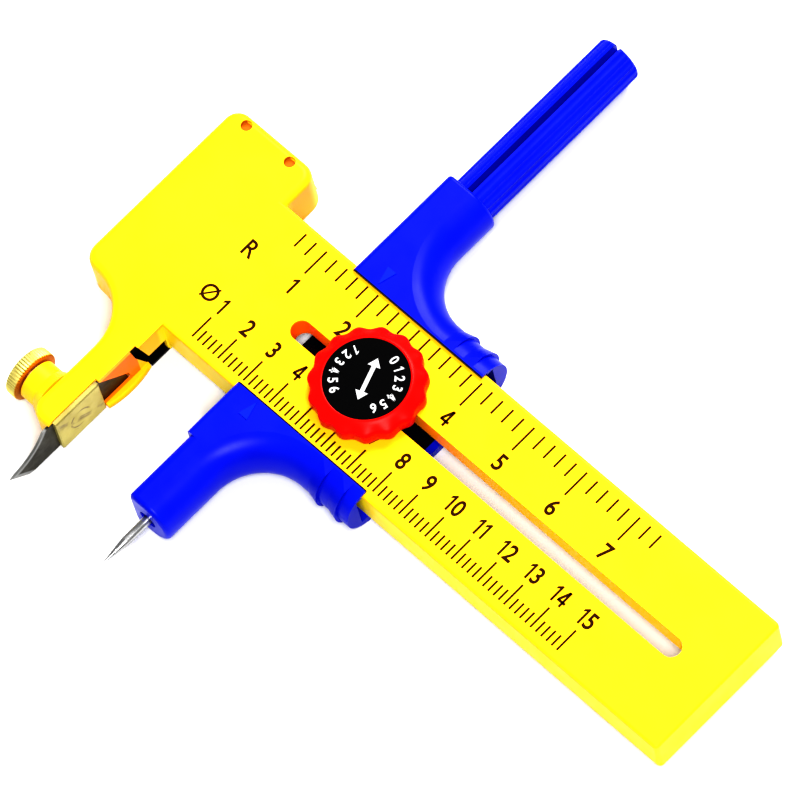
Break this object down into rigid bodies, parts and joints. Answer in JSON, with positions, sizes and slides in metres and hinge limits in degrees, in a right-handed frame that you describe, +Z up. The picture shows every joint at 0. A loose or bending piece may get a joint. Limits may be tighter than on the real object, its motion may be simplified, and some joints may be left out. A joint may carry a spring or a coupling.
{
  "type": "circle cutter",
  "caption": "Hand-held compass circle cutter: slotted arm with printed scales, clamped blade on a finger, and a sliding needle holder with a fluted stem, locked by a lobed knob.",
  "frame": {"origin": "on the surface that the cutter lies on, under the middle of its outer box", "axes": "+X along the arm, away from the head; +Y across it, from the needle to the handle stem; +Z up, out of the face with the scales"},
  "size_m": [0.1104, 0.1022, 0.0114],
  "materials": {
    "yellow_plastic": "satin moulded",
    "yellow_cover": "satin moulded",
    "blade_steel": "dark ground steel",
    "worn_brass": "worn",
    "brass": "turned",
    "washer_steel": "plated",
    "blue_plastic": "satin moulded",
    "blue_cap": "satin moulded",
    "blue_stem": "satin moulded",
    "red_plastic": "gloss moulded",
    "black_label": "printed disc",
    "zinc_steel": "zinc plated",
    "white_nylon": "natural nylon",
    "needle_steel": "polished"
  },
  "bodies": {
    "arm": {"arm_body": "yellow_plastic", "spare_blades": "blade_steel", "cutting_blade": "blade_steel", "clamp_washer": "washer_steel"},
    "cover": {"rear_cover": "yellow_cover"},
    "clamp_jaw": {"clamp_plate": "worn_brass", "clamp_stud": "brass"},
    "clamp_wheel": {"clamp_nut": "brass"},
    "slider": {"slider_body": "blue_plastic", "lock_nut": "zinc_steel", "nut_cap": "blue_cap", "handle_stem": "blue_stem", "needle": "needle_steel", "needle_bush": "brass"},
    "lock_washer": {"knob_washer": "white_nylon"},
    "knob": {"lock_knob": "red_plastic", "knob_screw": "zinc_steel", "knob_label": "black_label"}
  },
  "joints": [
    {"name": "slider_travel", "type": "slide", "parent": "arm", "child": "slider", "axis": [1, 0, 0], "range_m": [-0.0125, 0.0565]},
    {"name": "knob_turn", "type": "hinge", "parent": "lock_washer", "child": "knob", "pos_m": [-0.01085, -0.0089, 0.008], "axis": [0, 0, 1], "range_deg": [0, 216]},
    {"name": "knob_lift", "type": "slide", "parent": "slider", "child": "lock_washer", "axis": [0, 0, 1], "range_m": [0, 0.0003]},
    {"name": "clamp_nut_turn", "type": "hinge", "parent": "arm", "child": "clamp_wheel", "pos_m": [-0.0495, -0.0374, 0.004], "axis": [-1, 0, 0], "range_deg": [0, 720]},
    {"name": "clamp_jaw_travel", "type": "slide", "parent": "arm", "child": "clamp_jaw", "axis": [1, 0, 0], "range_m": [0, 0.001]},
    {"name": "cover_slide", "type": "slide", "parent": "arm", "child": "cover", "axis": [0, 1, 0], "range_m": [0, 0.024]}
  ],
  "couplings": [
    {"joint": "knob_turn", "follows": "knob_lift", "rad_per_m": 12566},
    {"joint": "clamp_nut_turn", "follows": "clamp_jaw_travel", "rad_per_m": 12566}
  ]
}
